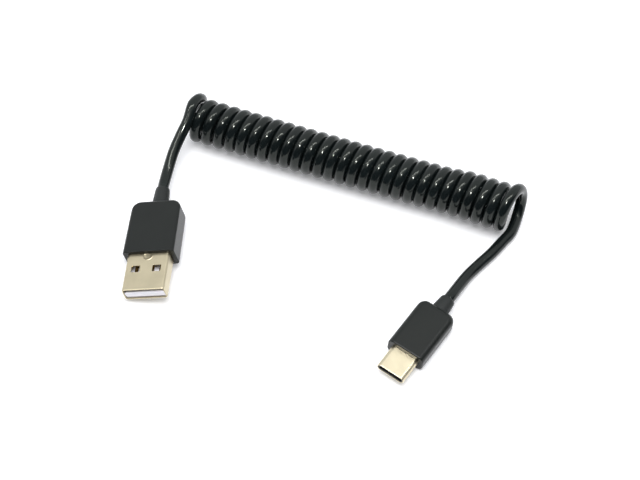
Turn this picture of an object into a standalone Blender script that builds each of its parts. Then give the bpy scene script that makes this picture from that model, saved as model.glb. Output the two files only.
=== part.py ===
"""Curly charging cord with a flat four-contact plug at one end and a small oval plug at the other.

Lengths are metres and angles degrees. +Z is up, the floor is Z = 0, and the origin is the middle of
the two plugs' common outline on that floor. Each plug has its own frame: X across, +Y towards the
cord and Z up, with its origin on the plug's axis at the front face of the moulded housing.
"""

import math

import bmesh
import bpy
from mathutils import Matrix, Vector

MM = 0.001

# Clearances
SEAT_GAP = 0.30 * MM       # between pieces that meet: boots and shells in housings, cord on boots
MOULD_GAP = 0.06 * MM      # between pieces moulded or pressed together inside a metal shell
FLOOR_GAP = 0.06 * MM      # what keeps a round cord's facets off the floor

# Cord
CORD_DIAMETER = 3.20 * MM
COIL_DIAMETER = 13.20 * MM   # outside the turns
COIL_PITCH = 3.356 * MM      # from one turn to the next, along the coil
COIL_TURNS = 28              # from the lead-in's top to the start of the last open turn
COIL_START = (-26.97 * MM, 54.89 * MM)   # on the coil's axis, below the top of the lead-in
COIL_HEADING = -19.9         # of the coil's axis, from +X
END_TURN_RADIUS = 5.65 * MM  # the open half turns at both ends, on their middle line
FIRST_TURN_ADVANCE = 0.7 * MM    # along the coil, over the half turn
LAST_TURN_START = 0.7 * MM       # how far the last half turn has slid on from its place
LAST_TURN_ADVANCE = 2.2 * MM
TUBE_SIDES = 32
HALF_TURN_STEPS = 6
LEAD_STEP = 2.0              # spacing of a lead's points, in cord diameters
LEAD_BEND = 16.0             # and how far the cord may turn between two points, in degrees

# Where the plugs lie, by the middles of their housings' front faces
PLUG_SPACING = 68.54 * MM    # along X
PLUG_STAGGER = 30.21 * MM    # along Y
PLUGS_MIDDLE = (-3.03 * MM, -7.89 * MM)

# Wide plug: metal shell
A_SHELL_WIDTH = 12.0 * MM
A_SHELL_HEIGHT = 4.5 * MM
A_SHELL_OUT = 11.8 * MM      # in front of the housing
A_SHELL_IN = 5.0 * MM        # inside the housing
A_SHEET = 0.30 * MM
A_SHELL_CORNER = 0.55 * MM
A_HOLE_WIDTH = 2.4 * MM      # the two latch holes in each broad side
A_HOLE_LENGTH = 2.1 * MM
A_HOLE_OFFSET = 3.0 * MM     # from the plug's axis
A_HOLE_SETBACK = 4.9 * MM    # hole's middle, in front of the housing
A_DIMPLE_DIAMETER = 2.9 * MM
A_DIMPLE_HEIGHT = 0.18 * MM
A_DIMPLE_SETBACK = 0.7 * MM

# Wide plug: insulator and contacts
A_TONGUE_HEIGHT = 1.85 * MM
A_TONGUE_RECESS = 0.5 * MM   # behind the shell's mouth
A_BLOCK_FRONT = 1.0 * MM     # how far the full-height block stands in front of the housing
A_CONTACT_COUNT = 4
A_CONTACT_WIDTH = 1.0 * MM
A_CONTACT_THICKNESS = 0.25 * MM
A_CONTACT_LENGTH = 8.0 * MM
A_CONTACT_RECESS = 1.0 * MM  # behind the tongue's front edge
A_OUTER_CONTACT = 3.5 * MM   # the outer contacts' offset from the axis
A_INNER_CONTACT = 1.0 * MM

# Wide plug: housing and boot
A_HOUSING_WIDTH = 14.7 * MM
A_HOUSING_REAR_WIDTH = 14.1 * MM
A_HOUSING_HEIGHT = 6.7 * MM
A_HOUSING_LENGTH = 17.6 * MM
A_FRONT_ROUND = 0.25 * MM
A_REAR_CORNER = 2.6 * MM     # seen from above
A_REAR_ROUND = 0.8 * MM      # seen from the side
A_EDGE_ROUND = 0.9 * MM      # along the broad sides
A_BOOT_WIDTH = 4.7 * MM
A_BOOT_HEIGHT = 4.3 * MM
A_BOOT_OUT = 6.2 * MM
A_BOOT_IN = 3.0 * MM
A_BOOT_END = 3.95 * MM       # width at the cord
A_PLACE = (PLUGS_MIDDLE[0] - PLUG_SPACING / 2, PLUGS_MIDDLE[1] + PLUG_STAGGER / 2)
A_HEADING = -4.9             # of the cord end, from +Y
A_ROLL = -12.5               # on the plug's own axis, propped by its cord

# Small oval plug: metal shell, insulator and contacts
C_SHELL_WIDTH = 8.25 * MM
C_SHELL_HEIGHT = 2.40 * MM
C_SHELL_OUT = 7.00 * MM
C_SHELL_IN = 4.0 * MM
C_SHEET = 0.25 * MM
C_LINER_RECESS = 0.45 * MM   # behind the shell's mouth
C_SLOT_WIDTH = 6.75 * MM     # the slot for the socket's tongue
C_SLOT_HEIGHT = 1.05 * MM
C_SLOT_DEPTH = 6.2 * MM
C_CONTACT_PITCH = 0.5 * MM
C_CONTACT_WIDTH = 0.24 * MM
C_CONTACT_THICKNESS = 0.12 * MM
C_CONTACT_LENGTH = 3.4 * MM
C_CONTACT_RECESS = 1.6 * MM  # behind the liner's front
C_POSITIONS = 12             # contact places in each row
C_UPPER_PLACES = (1, 4, 5, 6, 7, 9, 12)   # the places a charging cord fills
C_LOWER_PLACES = (1, 4, 9, 12)

# Small oval plug: housing and boot
C_HOUSING_WIDTH = 11.0 * MM
C_HOUSING_HEIGHT = 5.8 * MM
C_HOUSING_LENGTH = 16.8 * MM
C_FRONT_ROUND = 0.6 * MM
C_REAR_CORNER = 2.4 * MM
C_REAR_ROUND = 1.2 * MM
C_EDGE_ROUND = 1.7 * MM
C_BOOT_WIDTH = 5.0 * MM
C_BOOT_HEIGHT = 4.2 * MM
C_BOOT_OUT = 4.6 * MM
C_BOOT_IN = 3.0 * MM
C_BOOT_END = 4.1 * MM
C_PLACE = (PLUGS_MIDDLE[0] + PLUG_SPACING / 2, PLUGS_MIDDLE[1] - PLUG_STAGGER / 2)
C_HEADING = -34.8
C_ROLL = 5.0

# Route of the wide plug's lead after its boot, rising to the top of the coil: x, y, z
LEAD_A_ROUTE = (
    (-34.17 * MM, 37.26 * MM, 5.50 * MM),
    (-32.64 * MM, 42.36 * MM, 7.20 * MM),
    (-30.94 * MM, 46.66 * MM, 8.95 * MM),
    (-29.34 * MM, 50.66 * MM, 11.10 * MM),
)

# Route of the small plug's lead after its boot, down to the floor and to the underside of the coil
LEAD_C_ROUTE = (
    (48.78 * MM, 2.86 * MM, 1.90 * MM),
    (52.35 * MM, 6.96 * MM, 1.70 * MM),
    (56.21 * MM, 10.96 * MM, 1.68 * MM),
    (59.71 * MM, 15.06 * MM, 1.68 * MM),
    (62.25 * MM, 17.96 * MM, 1.68 * MM),
)


def clear_scene():
    for old in list(bpy.data.objects):
        bpy.data.objects.remove(old, do_unlink=True)


def material(name, color, roughness, metallic=0.0):
    mat = bpy.data.materials.new(name)
    mat.use_nodes = True
    shader = mat.node_tree.nodes["Principled BSDF"]
    shader.inputs["Base Color"].default_value = (*color, 1.0)
    shader.inputs["Roughness"].default_value = roughness
    shader.inputs["Metallic"].default_value = metallic
    return mat


def add_object(name, mesh, mat, parent=None):
    obj = bpy.data.objects.new(name, mesh)
    bpy.context.scene.collection.objects.link(obj)
    if mat is not None:
        mesh.materials.append(mat)
    obj.parent = parent
    return obj


def finish_mesh(name, bm):
    bmesh.ops.remove_doubles(bm, verts=bm.verts, dist=1e-7)
    bmesh.ops.recalc_face_normals(bm, faces=bm.faces)
    mesh = bpy.data.meshes.new(name)
    bm.to_mesh(mesh)
    bm.free()
    return mesh


# Section outlines, as lists of points counter-clockwise

def rounded_rectangle(width, height, radius, steps=4):
    """Corner arcs of one radius joined by straight sides."""
    points = []
    for quarter, (sign_x, sign_y) in enumerate(((1, 1), (-1, 1), (-1, -1), (1, -1))):
        centre_x = sign_x * (width / 2 - radius)
        centre_y = sign_y * (height / 2 - radius)
        for step in range(steps + 1):
            angle = (quarter + step / steps) * math.pi / 2
            points.append((centre_x + radius * math.cos(angle), centre_y + radius * math.sin(angle)))
    return points


def stadium(width, height, steps=12):
    """Two half circles joined by straight sides."""
    radius = height / 2
    points = []
    for side, start in ((1, -90), (-1, 90)):
        for step in range(steps + 1):
            angle = math.radians(start + 180 * step / steps)
            points.append((side * (width / 2 - radius) + radius * math.cos(angle), radius * math.sin(angle)))
    return points


def housing_stations(width, rear_width, height, length, rounds):
    """Sections of a housing from its front face to its cord end, with rounded ends and edges."""
    front_round, rear_corner, rear_round, edge = rounds
    steps = 5
    profile = []
    for step in range(steps + 1):
        turn = math.radians(90 * step / steps)
        inset = front_round * (1 - math.sin(turn))
        profile.append((front_round * (1 - math.cos(turn)), inset, inset))
    for step in range(steps + 1):
        turn = math.radians(90 * step / steps)
        drop = 1 - math.cos(turn)
        profile.append((length - rear_corner * (1 - math.sin(turn)), rear_corner * drop, rear_round * drop))
    stations = []
    for y, inset_x, inset_z in profile:
        taper = width + (rear_width - width) * y / length
        section = rounded_rectangle(taper - 2 * inset_x, height - 2 * inset_z, edge - 0.5 * inset_z)
        stations.append((y, section))
    return stations


# Solids

def section_ring(bm, section, y):
    """One ring of vertices in the plane at y, from (x, z) points."""
    return [bm.verts.new((x, y, z)) for x, z in section]


def bridge_rings(bm, first, second):
    count = len(first)
    for i in range(count):
        j = (i + 1) % count
        bm.faces.new((first[i], first[j], second[j], second[i]))


def lofted(name, stations):
    """A closed solid through (y, section) stations whose sections have equally many points."""
    bm = bmesh.new()
    rings = [section_ring(bm, section, y) for y, section in stations]
    for first, second in zip(rings, rings[1:]):
        bridge_rings(bm, first, second)
    bm.faces.new(rings[0])
    bm.faces.new(rings[-1])
    return finish_mesh(name, bm)


def sleeve(name, outer, inner, y_front, y_rear):
    """A tube of any section, open at both ends."""
    bm = bmesh.new()
    rings = [section_ring(bm, outer, y_front), section_ring(bm, outer, y_rear),
             section_ring(bm, inner, y_rear), section_ring(bm, inner, y_front)]
    for first, second in zip(rings, rings[1:] + rings[:1]):
        bridge_rings(bm, first, second)
    return finish_mesh(name, bm)


def box_mesh(name, size, centre):
    bm = bmesh.new()
    bmesh.ops.create_cube(bm, size=1.0)
    bmesh.ops.scale(bm, vec=size, verts=bm.verts)
    bmesh.ops.translate(bm, vec=centre, verts=bm.verts)
    return finish_mesh(name, bm)


def disc_mesh(name, diameter, height, centre):
    """A shallow button with a sloping rim."""
    bm = bmesh.new()
    bmesh.ops.create_cone(bm, cap_ends=True, segments=24, radius1=diameter / 2,
                          radius2=diameter / 2 - height, depth=height)
    bmesh.ops.translate(bm, vec=centre, verts=bm.verts)
    return finish_mesh(name, bm)


def cut(target, name, mesh, parent):
    """Subtracts a hidden cutter from a piece."""
    cutter = add_object(name, mesh, None, parent)
    cutter.hide_render = True
    cutter.display_type = "WIRE"
    modifier = target.modifiers.new(name, "BOOLEAN")
    modifier.operation = "DIFFERENCE"
    modifier.object = cutter
    return cutter


def join(target, name, mesh, parent):
    """Adds a hidden shape to a piece."""
    added = cut(target, name, mesh, parent)
    target.modifiers[name].operation = "UNION"
    return added


def shade_round(obj, angle=35):
    obj.data.shade_smooth()
    obj.data.set_sharp_from_angle(angle=math.radians(angle))


# Plugs' places

def plug_empty(name, place, heading, roll, width, height, edge):
    """A plug's frame, so high that its housing rests on one rounded lower edge."""
    tilt = math.radians(roll)
    rest_height = (edge + (width / 2 - edge) * abs(math.sin(tilt))
                   + (height / 2 - edge) * math.cos(tilt))
    turn = Matrix.Rotation(math.radians(heading), 4, "Z") @ Matrix.Rotation(tilt, 4, "Y")
    empty = bpy.data.objects.new(name, None)
    bpy.context.scene.collection.objects.link(empty)
    empty.matrix_world = Matrix.Translation((*place, rest_height)) @ turn
    return empty


def boot(name, width, height, end, length_out, length_in, rear, mat, parent):
    """A moulded strain relief: straight inside the housing, tapering outside, with a rounded end."""
    taper_end = rear + length_out
    shoulder = taper_end - 0.12 * length_out
    sizes = (
        (rear - length_in, 1.0, 1.0),
        (rear + 0.25 * length_out, 1.0, 1.0),
        (shoulder, end / width, end / height),
        (taper_end, 0.9 * end / width, 0.9 * end / height),
    )
    stations = []
    for y, scale_x, scale_z in sizes:
        section_width = width * scale_x
        section_height = height * scale_z
        radius = 0.49 * min(section_width, section_height)
        stations.append((y, rounded_rectangle(section_width, section_height, radius, 5)))
    obj = add_object(name, lofted(name, stations), mat, parent)
    shade_round(obj)
    return obj


# Wide plug

def wide_shell(parent, mat):
    outer = rounded_rectangle(A_SHELL_WIDTH, A_SHELL_HEIGHT, A_SHELL_CORNER)
    inner = rounded_rectangle(A_SHELL_WIDTH - 2 * A_SHEET, A_SHELL_HEIGHT - 2 * A_SHEET,
                              A_SHELL_CORNER - A_SHEET)
    mesh = sleeve("usb_a_shell", outer, inner, -A_SHELL_OUT, A_SHELL_IN)
    shell = add_object("usb_a_shell", mesh, mat, parent)
    # The dimple is sunk a little into the sheet, so that the two meet as one body
    sunk = 0.5 * A_SHEET
    top = A_SHELL_HEIGHT / 2
    dimple = disc_mesh("dimple", A_DIMPLE_DIAMETER, A_DIMPLE_HEIGHT + sunk,
                       (0, -A_DIMPLE_SETBACK, top + (A_DIMPLE_HEIGHT - sunk) / 2))
    join(shell, "dimple", dimple, parent)
    for label, side in (("left", -1), ("right", 1)):
        hole = box_mesh("latch_hole_" + label, (A_HOLE_WIDTH, A_HOLE_LENGTH, 2 * A_SHELL_HEIGHT),
                        (side * A_HOLE_OFFSET, -A_HOLE_SETBACK, 0))
        cut(shell, "latch_hole_" + label, hole, parent)
    shade_round(shell)


def wide_insulator(parent, mat):
    """A block that fills the shell at the back, with the contact tongue low in front."""
    half_width = A_SHELL_WIDTH / 2 - A_SHEET - MOULD_GAP
    half_height = A_SHELL_HEIGHT / 2 - A_SHEET - MOULD_GAP
    corner = A_SHELL_CORNER - A_SHEET
    tongue_front = -A_SHELL_OUT + A_TONGUE_RECESS
    block = rounded_rectangle(2 * half_width, 2 * half_height, corner)
    mesh = lofted("usb_a_insulator", ((tongue_front, block), (A_SHELL_IN, block)))
    insulator = add_object("usb_a_insulator", mesh, mat, parent)
    open_height = 2 * half_height - A_TONGUE_HEIGHT
    open_front = tongue_front - MM
    open_length = -A_BLOCK_FRONT - open_front
    above = box_mesh("space_above_tongue", (3 * half_width, open_length, 2 * open_height),
                     (0, open_front + open_length / 2, half_height))
    cut(insulator, "space_above_tongue", above, parent)
    tongue_top = -half_height + A_TONGUE_HEIGHT
    groove_depth = A_CONTACT_THICKNESS + MOULD_GAP
    for number, x in enumerate(contact_places(), 1):
        groove_front = tongue_front + A_CONTACT_RECESS - MOULD_GAP
        groove_length = A_CONTACT_LENGTH + 2 * MOULD_GAP
        name = "contact_groove_%d" % number
        groove = box_mesh(name, (A_CONTACT_WIDTH + 2 * MOULD_GAP, groove_length, 2 * groove_depth),
                          (x, groove_front + groove_length / 2, tongue_top))
        cut(insulator, name, groove, parent)


def contact_places():
    return (-A_OUTER_CONTACT, -A_INNER_CONTACT, A_INNER_CONTACT, A_OUTER_CONTACT)


def wide_contacts(parent, mat):
    tongue_front = -A_SHELL_OUT + A_TONGUE_RECESS
    tongue_top = -(A_SHELL_HEIGHT / 2 - A_SHEET - MOULD_GAP) + A_TONGUE_HEIGHT
    for number, x in enumerate(contact_places(), 1):
        name = "usb_a_contact_%d" % number
        centre = (x, tongue_front + A_CONTACT_RECESS + A_CONTACT_LENGTH / 2,
                  tongue_top - A_CONTACT_THICKNESS / 2)
        mesh = box_mesh(name, (A_CONTACT_WIDTH, A_CONTACT_LENGTH, A_CONTACT_THICKNESS), centre)
        add_object(name, mesh, mat, parent)


def wide_housing(parent, mat):
    rounds = (A_FRONT_ROUND, A_REAR_CORNER, A_REAR_ROUND, A_EDGE_ROUND)
    stations = housing_stations(A_HOUSING_WIDTH, A_HOUSING_REAR_WIDTH, A_HOUSING_HEIGHT,
                                A_HOUSING_LENGTH, rounds)
    housing = add_object("usb_a_housing", lofted("usb_a_housing", stations), mat, parent)
    socket_depth = A_SHELL_IN + SEAT_GAP
    socket = rounded_rectangle(A_SHELL_WIDTH + 2 * SEAT_GAP, A_SHELL_HEIGHT + 2 * SEAT_GAP,
                               A_SHELL_CORNER + SEAT_GAP)
    cut(housing, "shell_socket", lofted("shell_socket", ((-MM, socket), (socket_depth, socket))), parent)
    cut_boot_hole(housing, "boot_hole_a", A_BOOT_WIDTH, A_BOOT_HEIGHT, A_BOOT_IN, A_HOUSING_LENGTH, parent)
    shade_round(housing)


def cut_boot_hole(housing, name, width, height, depth, rear, parent):
    section = rounded_rectangle(width + 2 * SEAT_GAP, height + 2 * SEAT_GAP,
                                0.49 * height + SEAT_GAP, 5)
    hole = lofted(name, ((rear - depth - SEAT_GAP, section), (rear + MM, section)))
    cut(housing, name, hole, parent)


def wide_plug(mats):
    empty = plug_empty("wide_plug", A_PLACE, A_HEADING, A_ROLL,
                       A_HOUSING_WIDTH, A_HOUSING_HEIGHT, A_EDGE_ROUND)
    wide_housing(empty, mats["housing"])
    wide_shell(empty, mats["shell"])
    wide_insulator(empty, mats["white"])
    wide_contacts(empty, mats["gold"])
    boot("usb_a_strain_relief", A_BOOT_WIDTH, A_BOOT_HEIGHT, A_BOOT_END, A_BOOT_OUT, A_BOOT_IN,
         A_HOUSING_LENGTH, mats["boot"], empty)
    return empty


# Small oval plug

def small_shell(parent, mat):
    outer = stadium(C_SHELL_WIDTH, C_SHELL_HEIGHT)
    inner = stadium(C_SHELL_WIDTH - 2 * C_SHEET, C_SHELL_HEIGHT - 2 * C_SHEET)
    shell = add_object("usb_c_shell", sleeve("usb_c_shell", outer, inner, -C_SHELL_OUT, C_SHELL_IN),
                       mat, parent)
    shade_round(shell)


def small_insulator(parent, mat):
    margin = C_SHEET + MOULD_GAP
    section = stadium(C_SHELL_WIDTH - 2 * margin, C_SHELL_HEIGHT - 2 * margin)
    front = -C_SHELL_OUT + C_LINER_RECESS
    mesh = lofted("usb_c_insulator", ((front, section), (C_SHELL_IN, section)))
    liner = add_object("usb_c_insulator", mesh, mat, parent)
    slot = box_mesh("tongue_slot", (C_SLOT_WIDTH, C_SLOT_DEPTH + MM, C_SLOT_HEIGHT),
                    (0, front + (C_SLOT_DEPTH - MM) / 2, 0))
    cut(liner, "tongue_slot", slot, parent)
    shade_round(liner)


def small_contacts(parent, mat):
    """Flat springs against the slot's upper and lower walls, in the places a charging cord fills."""
    y = -C_SHELL_OUT + C_LINER_RECESS + C_CONTACT_RECESS + C_CONTACT_LENGTH / 2
    height = C_SLOT_HEIGHT / 2 - MOULD_GAP - C_CONTACT_THICKNESS / 2
    for row, side, places in (("upper", 1, C_UPPER_PLACES), ("lower", -1, C_LOWER_PLACES)):
        for place in places:
            name = "usb_c_contact_%s_%d" % (row, place)
            x = (place - (C_POSITIONS + 1) / 2) * C_CONTACT_PITCH
            mesh = box_mesh(name, (C_CONTACT_WIDTH, C_CONTACT_LENGTH, C_CONTACT_THICKNESS),
                            (x, y, side * height))
            add_object(name, mesh, mat, parent)


def small_housing(parent, mat):
    rounds = (C_FRONT_ROUND, C_REAR_CORNER, C_REAR_ROUND, C_EDGE_ROUND)
    stations = housing_stations(C_HOUSING_WIDTH, C_HOUSING_WIDTH, C_HOUSING_HEIGHT,
                                C_HOUSING_LENGTH, rounds)
    housing = add_object("usb_c_housing", lofted("usb_c_housing", stations), mat, parent)
    socket_depth = C_SHELL_IN + SEAT_GAP
    socket = stadium(C_SHELL_WIDTH + 2 * SEAT_GAP, C_SHELL_HEIGHT + 2 * SEAT_GAP)
    cut(housing, "oval_socket", lofted("oval_socket", ((-MM, socket), (socket_depth, socket))), parent)
    cut_boot_hole(housing, "boot_hole_c", C_BOOT_WIDTH, C_BOOT_HEIGHT, C_BOOT_IN, C_HOUSING_LENGTH, parent)
    shade_round(housing)


def small_plug(mats):
    empty = plug_empty("small_plug", C_PLACE, C_HEADING, C_ROLL,
                       C_HOUSING_WIDTH, C_HOUSING_HEIGHT, C_EDGE_ROUND)
    small_housing(empty, mats["housing"])
    small_shell(empty, mats["shell"])
    small_insulator(empty, mats["black"])
    small_contacts(empty, mats["gold"])
    boot("usb_c_strain_relief", C_BOOT_WIDTH, C_BOOT_HEIGHT, C_BOOT_END, C_BOOT_OUT, C_BOOT_IN,
         C_HOUSING_LENGTH, mats["boot"], empty)
    return empty


# Cord

def coil_frame():
    """The coil's start on its axis, its direction, and the level direction away from the plugs."""
    heading = math.radians(COIL_HEADING)
    start = Vector((*COIL_START, COIL_DIAMETER / 2 + FLOOR_GAP))
    along = Vector((math.cos(heading), math.sin(heading), 0))
    away = Vector((-math.sin(heading), math.cos(heading), 0))
    return start, along, away


def half_turn(axial, advance):
    """Points from a coil end's top, down its far side to the floor, on the open turn's middle line."""
    start, along, away = coil_frame()
    middle = CORD_DIAMETER / 2 + END_TURN_RADIUS - COIL_DIAMETER / 2
    points = []
    for step in range(HALF_TURN_STEPS + 1):
        angle = math.pi * step / HALF_TURN_STEPS
        height = middle + END_TURN_RADIUS * math.cos(angle)
        points.append(start + along * (axial + advance * step / HALF_TURN_STEPS)
                      + away * END_TURN_RADIUS * math.sin(angle) + Vector((0, 0, height)))
    return points


def smooth_curve(route):
    """Points on a Catmull-Rom curve through the route, straight at first, closer where it bends."""
    knots = [2 * route[0] - route[1], *route, 2 * route[-1] - route[-2]]
    dense = []
    fine = 24
    for a, b, c, d in zip(knots, knots[1:], knots[2:], knots[3:]):
        for i in range(fine):
            t = i / fine
            dense.append(0.5 * (2 * b + (c - a) * t + (2 * a - 5 * b + 4 * c - d) * t ** 2
                                + (3 * b - a - 3 * c + d) * t ** 3))
    points = [dense[0], dense[fine]]
    heading = dense[fine + 1] - dense[fine]
    travelled = 0.0
    for first, second in zip(dense[fine:], dense[fine + 1:]):
        travelled += (second - first).length
        turned = math.degrees((second - first).angle(heading))
        if travelled >= LEAD_STEP * CORD_DIAMETER or turned >= LEAD_BEND:
            points.append(second)
            heading = second - first
            travelled = 0.0
    points.append(route[-1])
    return points


def tube(name, points, mat):
    """A round cord through the points, with filled ends."""
    curve = bpy.data.curves.new(name, "CURVE")
    curve.dimensions = "3D"
    curve.bevel_depth = CORD_DIAMETER / 2
    curve.bevel_resolution = 2
    curve.use_fill_caps = True
    spline = curve.splines.new("POLY")
    spline.points.add(len(points) - 1)
    for point, place in zip(spline.points, points):
        point.co = (*place, 1.0)
    curve.materials.append(mat)
    obj = bpy.data.objects.new(name, curve)
    bpy.context.scene.collection.objects.link(obj)
    return obj


def cord_exit(plug, housing_length, boot_out):
    """Where the cord's middle line leaves a boot, and a point a little further on the same line."""
    first = plug.matrix_world @ Vector((0, housing_length + boot_out + SEAT_GAP, 0))
    second = plug.matrix_world @ Vector((0, housing_length + boot_out + SEAT_GAP + CORD_DIAMETER / 2, 0))
    return first, second


def lead(name, plug, housing_length, boot_out, route, loop, mat):
    """A straight stretch out of the boot, the route, and the half turn at the coil's end."""
    first, second = cord_exit(plug, housing_length, boot_out)
    tube(name, smooth_curve([first, second, *map(Vector, route), *loop]), mat)


def coil_solid(mat):
    """The turns as one fat tube of their outer diameter, round a bore."""
    start, along, away = coil_frame()
    near = CORD_DIAMETER / 2 + SEAT_GAP
    far = COIL_TURNS * COIL_PITCH + LAST_TURN_START - CORD_DIAMETER / 2 - SEAT_GAP
    outer = COIL_DIAMETER / 2
    inner = outer - CORD_DIAMETER
    bm = bmesh.new()
    profile = [bm.verts.new((radius, 0, z)) for radius, z in
               ((outer, 0), (outer, far - near), (inner, far - near), (inner, 0))]
    edges = [bm.edges.new((profile[i], profile[(i + 1) % 4])) for i in range(4)]
    bmesh.ops.spin(bm, geom=profile + edges, cent=(0, 0, 0), axis=(0, 0, 1),
                   angle=2 * math.pi, steps=TUBE_SIDES, use_merge=True)
    obj = add_object("coil", finish_mesh("coil", bm), mat)
    turn = Matrix((away, Vector((0, 0, 1)), along)).transposed().to_4x4()
    obj.matrix_world = Matrix.Translation(start + along * near) @ turn
    shade_round(obj)
    return obj


def main():
    clear_scene()
    mats = {
        "housing": material("housing_plastic", (0.035, 0.038, 0.036), 0.45),
        "boot": material("boot_rubber", (0.055, 0.058, 0.056), 0.55),
        "shell": material("nickel_shell", (0.78, 0.72, 0.58), 0.28, 1.0),
        "white": material("white_insulator", (0.85, 0.83, 0.86), 0.5),
        "black": material("black_insulator", (0.02, 0.02, 0.02), 0.5),
        "gold": material("gold_contacts", (0.83, 0.62, 0.28), 0.25, 1.0),
        "cord": material("cord_jacket", (0.018, 0.019, 0.02), 0.22),
    }
    wide = wide_plug(mats)
    small = small_plug(mats)
    bpy.context.view_layer.update()
    coil_solid(mats["cord"])
    first_turn = half_turn(-FIRST_TURN_ADVANCE, FIRST_TURN_ADVANCE)
    last_turn = half_turn(COIL_TURNS * COIL_PITCH + LAST_TURN_START, LAST_TURN_ADVANCE)
    lead("lead_a", wide, A_HOUSING_LENGTH, A_BOOT_OUT, LEAD_A_ROUTE, first_turn, mats["cord"])
    lead("lead_c", small, C_HOUSING_LENGTH, C_BOOT_OUT, LEAD_C_ROUTE, last_turn[::-1], mats["cord"])


main()
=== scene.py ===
"""Coiled charging cable: a curly black cord with a wide flat plug and a small oval plug.

The packed frame gives every piece its place. Lengths are metres, +Z is up and the floor is Z = 0.
Each plug is modelled in its own frame, X across, +Y towards the cord and Z up, with its origin on
the plug's axis at the housing's front face, and is then laid where the frame has it.
"""

import math

import bmesh
import bpy
from bpy.props import FloatProperty, FloatVectorProperty, IntProperty, PointerProperty
from mathutils import Matrix, Vector


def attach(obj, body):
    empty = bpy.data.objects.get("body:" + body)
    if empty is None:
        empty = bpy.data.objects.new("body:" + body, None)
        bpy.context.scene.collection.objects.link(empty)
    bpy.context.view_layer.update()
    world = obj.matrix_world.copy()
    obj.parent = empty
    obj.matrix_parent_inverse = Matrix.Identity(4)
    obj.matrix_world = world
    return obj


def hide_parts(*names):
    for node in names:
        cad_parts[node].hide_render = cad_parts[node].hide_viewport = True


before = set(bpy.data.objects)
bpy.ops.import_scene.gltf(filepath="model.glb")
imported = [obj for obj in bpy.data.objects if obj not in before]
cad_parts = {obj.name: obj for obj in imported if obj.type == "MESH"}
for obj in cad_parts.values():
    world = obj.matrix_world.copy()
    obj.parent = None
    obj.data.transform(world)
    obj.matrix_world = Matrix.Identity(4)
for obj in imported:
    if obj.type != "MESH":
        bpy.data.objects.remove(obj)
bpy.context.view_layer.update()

bl_info = {
    "name": "Coiled Charging Cable",
    "version": (1, 0, 0),
    "blender": (4, 5, 0),
    "location": "View3D > Sidebar > Cable",
    "description": "Models a curly charging cord with a wide and a small plug on a studio floor",
    "category": "Add Mesh",
}

MM = 0.001
NEAR = 1e-6

# Where the plugs lie: the middles of their housings' front faces, and how each is turned
PLUG_SPACING = 68.54 * MM
PLUG_STAGGER = 30.21 * MM
PLUGS_MIDDLE = (-3.03 * MM, -7.89 * MM)
WIDE_HEADING = -4.9
WIDE_ROLL = -12.5
SMALL_HEADING = -34.8
SMALL_ROLL = 5.0

# Where the coil lies, and how its ends stand off it
COIL_START = (-26.97 * MM, 54.89 * MM)
COIL_HEADING = -19.9
FLOOR_GAP = 0.06 * MM
END_TURN_RADIUS = 5.65 * MM
FIRST_TURN_SHIFT = -0.55 * MM
LAST_TURN_SHIFT = 1.25 * MM
LAST_TURN_RETURN = 0.5 * MM
FIRST_FAR_SHIFT = -1.10 * MM
FIRST_NEAR_SHIFT = -0.12 * MM
END_FLARE = 0.36 * MM
END_FORWARD = 0.6 * MM
TURN_LEAN = 0.25 * MM
COIL_BOW = 0.45 * MM

# Route of the wide plug's lead after its boot, rising to the top of the coil
WIDE_LEAD_ROUTE = (
    (-34.15 * MM, 37.26 * MM, 5.50 * MM),
    (-32.72 * MM, 42.36 * MM, 7.20 * MM),
    (-30.90 * MM, 46.66 * MM, 8.95 * MM),
    (-28.82 * MM, 50.66 * MM, 11.10 * MM),
)

# Route of the small plug's lead after its boot, down to the floor and to the coil's underside
SMALL_LEAD_ROUTE = (
    (48.78 * MM, 2.86 * MM, 1.90 * MM),
    (52.35 * MM, 6.96 * MM, 1.70 * MM),
    (56.21 * MM, 10.96 * MM, 1.68 * MM),
    (59.60 * MM, 15.06 * MM, 1.68 * MM),
    (61.95 * MM, 17.96 * MM, 1.68 * MM),
)

# Where the cord's middle line crosses a boot's end, and how far apart its points on the leads are
BOOT_CROSSING = (-1.2 * MM, 0.3 * MM, 1.7 * MM)
LEAD_STEP = 0.7 * MM

# Radii of the housings' long edges. Each housing rests on one of them.
WIDE_EDGE = 0.9 * MM
SMALL_EDGE = 1.7 * MM

# The boots: how deep they and their seats go into the housing, and their hollow end
SEAT_DEPTH = 3.0 * MM
BOOT_DEPTH = 2.9 * MM
BOOT_BORE = 3.26 * MM
BOOT_HOLLOW = 1.4 * MM

# Width and height of each boot's root, and then of its sections, after how far along they lie
WIDE_BOOT_ROOT = (4.7 * MM, 4.3 * MM)
WIDE_BOOT_SECTIONS = (
    (0.3, 4.6 * MM, 4.25 * MM),
    (0.8, 4.25 * MM, 4.05 * MM),
    (0.92, 4.1 * MM, 3.95 * MM),
    (0.975, 3.9 * MM, 3.8 * MM),
    (1.0, 3.55 * MM, 3.5 * MM),
)
SMALL_BOOT_ROOT = (5.0 * MM, 4.2 * MM)
SMALL_BOOT_SECTIONS = (
    (0.25, 4.85 * MM, 4.15 * MM),
    (0.75, 4.4 * MM, 4.0 * MM),
    (0.9, 4.25 * MM, 3.9 * MM),
    (0.97, 4.0 * MM, 3.75 * MM),
    (1.0, 3.6 * MM, 3.5 * MM),
)

# Room round the shells in their sockets
WIDE_SOCKET_ROOM = 0.2 * MM
SMALL_SOCKET_ROOM = 0.16 * MM
SOCKET_END_ROOM = 0.2 * MM

# The shells' broken edges and seam, and the least flat that stays between two rounded edges
SHEET_EDGE = 0.06 * MM
SEAM_WIDTH = 0.06 * MM
LEAST_FLAT = 0.004 * MM

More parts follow.
